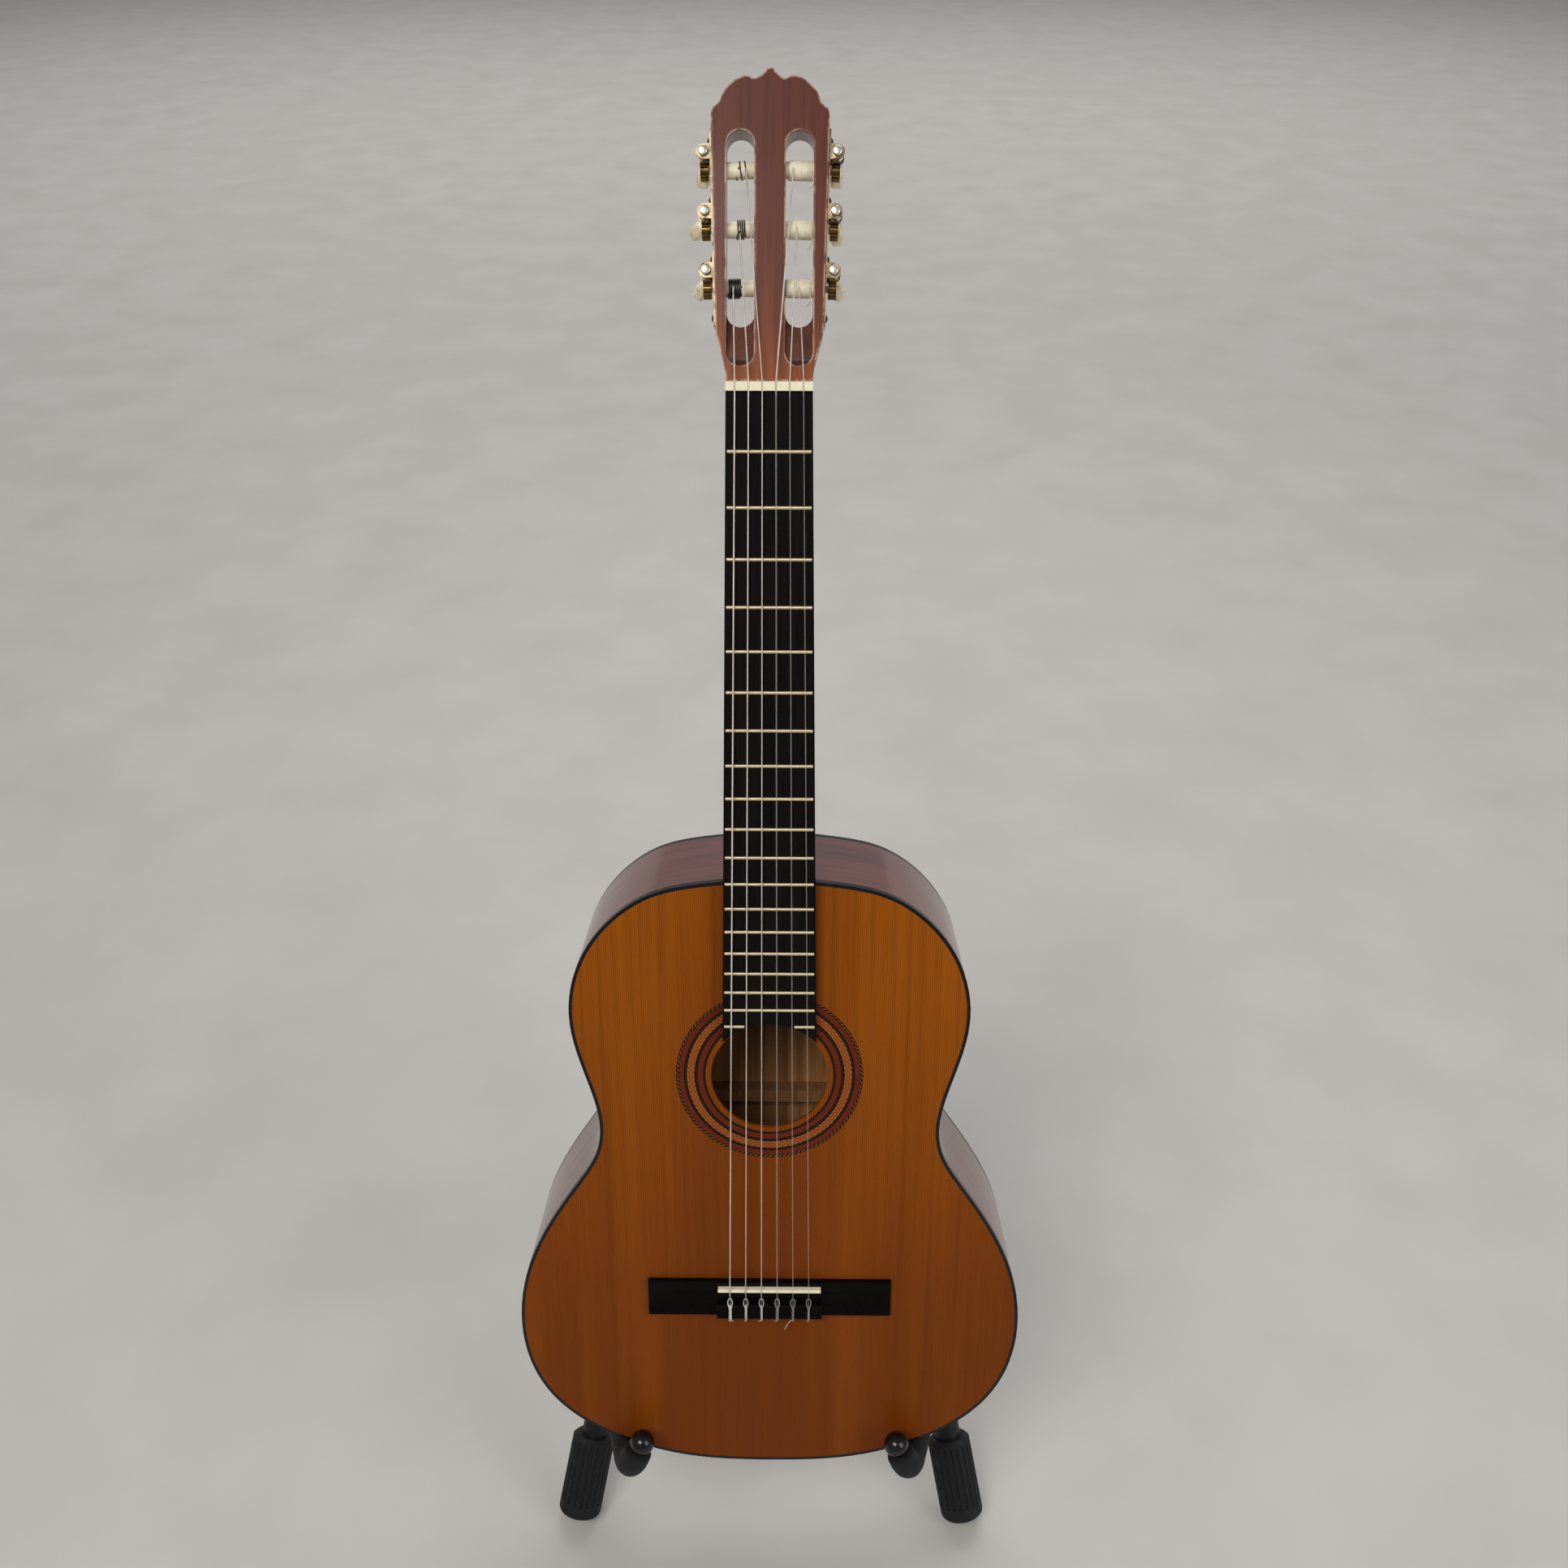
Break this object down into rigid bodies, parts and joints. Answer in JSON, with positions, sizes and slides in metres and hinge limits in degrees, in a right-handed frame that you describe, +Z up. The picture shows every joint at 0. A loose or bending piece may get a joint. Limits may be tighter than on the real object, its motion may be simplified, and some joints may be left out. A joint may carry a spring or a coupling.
{
  "type": "classical guitar on floor stand",
  "caption": "Classical guitar with slotted head and worm tuners, resting on a low black folding floor stand with padded arms and rubber feet.",
  "frame": {"origin": "on the floor under the middle of the whole object", "axes": "+Z up; the soundboard faces -Y; +X towards the treble strings"},
  "size_m": [0.3784, 0.3694, 1.0933],
  "materials": {
    "soundboard": "gloss varnish on straight-grained softwood",
    "rosette": "inlaid wood mosaic",
    "binding": "gloss",
    "rosewood": "gloss varnish",
    "inner_wood": "bare",
    "neck_wood": "satin varnish",
    "head_veneer": "worn gloss varnish",
    "ebony": "satin",
    "fret_metal": "polished",
    "bone": "satin",
    "wound_string": "fine wound wire",
    "nylon": "clear nylon",
    "tuner_brass": "aged, satin",
    "screw_steel": "darkened",
    "gear_brass": "dull",
    "worm_steel": "polished",
    "roller_cream": "satin",
    "pearl": "pearl gloss",
    "stand_black": "matte powder coat",
    "stand_rubber": "matte",
    "stand_foam": "matte foam",
    "stand_plastic": "satin",
    "arm_steel": "gloss black",
    "pin_steel": "satin"
  },
  "bodies": {
    "stand_frame": {"front_frame": "stand_black", "front_feet": "stand_rubber", "backrest_pads": "stand_foam", "hub": "stand_plastic", "hinge_pin": "pin_steel"},
    "rear_leg": {"rear_leg": "stand_black", "rear_foot": "stand_rubber"},
    "arm_left": {"arm_left": "arm_steel", "arm_pad_left": "stand_foam"},
    "arm_right": {"arm_right": "arm_steel", "arm_pad_right": "stand_foam"},
    "guitar": {"soundboard": "soundboard", "rosette": "rosette", "bindings": "binding", "rib_left": "rosewood", "rib_right": "rosewood", "back_plate": "rosewood", "linings": "inner_wood", "end_blocks": "inner_wood", "braces": "inner_wood", "neck": "neck_wood", "heel_cap": "ebony", "headstock": "neck_wood", "headplate": "head_veneer", "fingerboard": "ebony", "frets": "fret_metal", "nut": "bone", "bridge": "ebony", "saddle": "bone", "bass_strings": "wound_string", "treble_strings": "nylon", "tuner_plates": "tuner_brass", "plate_screws": "screw_steel"},
    "worm_1": {"worm_1": "worm_steel", "button_1": "pearl"},
    "roller_1": {"roller_1": "roller_cream", "gear_1": "gear_brass"},
    "worm_2": {"worm_2": "worm_steel", "button_2": "pearl"},
    "roller_2": {"roller_2": "roller_cream", "gear_2": "gear_brass"},
    "worm_3": {"worm_3": "worm_steel", "button_3": "pearl"},
    "roller_3": {"roller_3": "roller_cream", "gear_3": "gear_brass"},
    "worm_4": {"worm_4": "worm_steel", "button_4": "pearl"},
    "roller_4": {"roller_4": "roller_cream", "gear_4": "gear_brass"},
    "worm_5": {"worm_5": "worm_steel", "button_5": "pearl"},
    "roller_5": {"roller_5": "roller_cream", "gear_5": "gear_brass"},
    "worm_6": {"worm_6": "worm_steel", "button_6": "pearl"},
    "roller_6": {"roller_6": "roller_cream", "gear_6": "gear_brass"}
  },
  "joints": [
    {"name": "guitar_lift", "type": "slide", "parent": "stand_frame", "child": "guitar", "axis": [0, 0.2827, 0.9592], "range_m": [0, 0.3]},
    {"name": "rear_leg_fold", "type": "hinge", "parent": "stand_frame", "child": "rear_leg", "pos_m": [0, 0.01547, 0.236], "axis": [-1, 0, 0], "range_deg": [0, 45]},
    {"name": "arm_swivel_left", "type": "hinge", "parent": "stand_frame", "child": "arm_left", "pos_m": [-0.13965, -0.05481, 0.11687], "axis": [-0.19, -0.5631, -0.8042], "range_deg": [0, 90]},
    {"name": "arm_swivel_right", "type": "hinge", "parent": "stand_frame", "child": "arm_right", "pos_m": [0.13965, -0.05481, 0.11687], "axis": [-0.19, 0.5631, 0.8042], "range_deg": [0, 90]},
    {"name": "button_turn_1", "type": "hinge", "parent": "guitar", "child": "worm_1", "pos_m": [-0.03895, 0.11869, 0.98694], "axis": [0, 0.866, -0.5], "continuous": true},
    {"name": "roller_turn_1", "type": "hinge", "parent": "guitar", "child": "roller_1", "pos_m": [-0.0335, 0.11375, 0.97839], "axis": [-0.9997, -0.0125, -0.0217], "continuous": true},
    {"name": "button_turn_2", "type": "hinge", "parent": "guitar", "child": "worm_2", "pos_m": [-0.03983, 0.13618, 1.01724], "axis": [0, 0.866, -0.5], "continuous": true},
    {"name": "roller_turn_2", "type": "hinge", "parent": "guitar", "child": "roller_2", "pos_m": [-0.03438, 0.13125, 1.0087], "axis": [-0.9997, -0.0125, -0.0217], "continuous": true},
    {"name": "button_turn_3", "type": "hinge", "parent": "guitar", "child": "worm_3", "pos_m": [-0.04071, 0.15368, 1.04754], "axis": [0, 0.866, -0.5], "continuous": true},
    {"name": "roller_turn_3", "type": "hinge", "parent": "guitar", "child": "roller_3", "pos_m": [-0.03526, 0.14874, 1.039], "axis": [-0.9997, -0.0125, -0.0217], "continuous": true},
    {"name": "button_turn_4", "type": "hinge", "parent": "guitar", "child": "worm_4", "pos_m": [0.04071, 0.15368, 1.04754], "axis": [0, 0.866, -0.5], "continuous": true},
    {"name": "roller_turn_4", "type": "hinge", "parent": "guitar", "child": "roller_4", "pos_m": [0.03526, 0.14874, 1.039], "axis": [0.9997, -0.0125, -0.0217], "continuous": true},
    {"name": "button_turn_5", "type": "hinge", "parent": "guitar", "child": "worm_5", "pos_m": [0.03983, 0.13618, 1.01724], "axis": [0, 0.866, -0.5], "continuous": true},
    {"name": "roller_turn_5", "type": "hinge", "parent": "guitar", "child": "roller_5", "pos_m": [0.03438, 0.13125, 1.0087], "axis": [0.9997, -0.0125, -0.0217], "continuous": true},
    {"name": "button_turn_6", "type": "hinge", "parent": "guitar", "child": "worm_6", "pos_m": [0.03895, 0.11869, 0.98694], "axis": [0, 0.866, -0.5], "continuous": true},
    {"name": "roller_turn_6", "type": "hinge", "parent": "guitar", "child": "roller_6", "pos_m": [0.0335, 0.11375, 0.97839], "axis": [0.9997, -0.0125, -0.0217], "continuous": true}
  ],
  "couplings": [
    {"joint": "roller_turn_1", "follows": "button_turn_1", "ratio": -0.071429},
    {"joint": "roller_turn_2", "follows": "button_turn_2", "ratio": -0.071429},
    {"joint": "roller_turn_3", "follows": "button_turn_3", "ratio": -0.071429},
    {"joint": "roller_turn_4", "follows": "button_turn_4", "ratio": 0.071429},
    {"joint": "roller_turn_5", "follows": "button_turn_5", "ratio": 0.071429},
    {"joint": "roller_turn_6", "follows": "button_turn_6", "ratio": 0.071429}
  ]
}
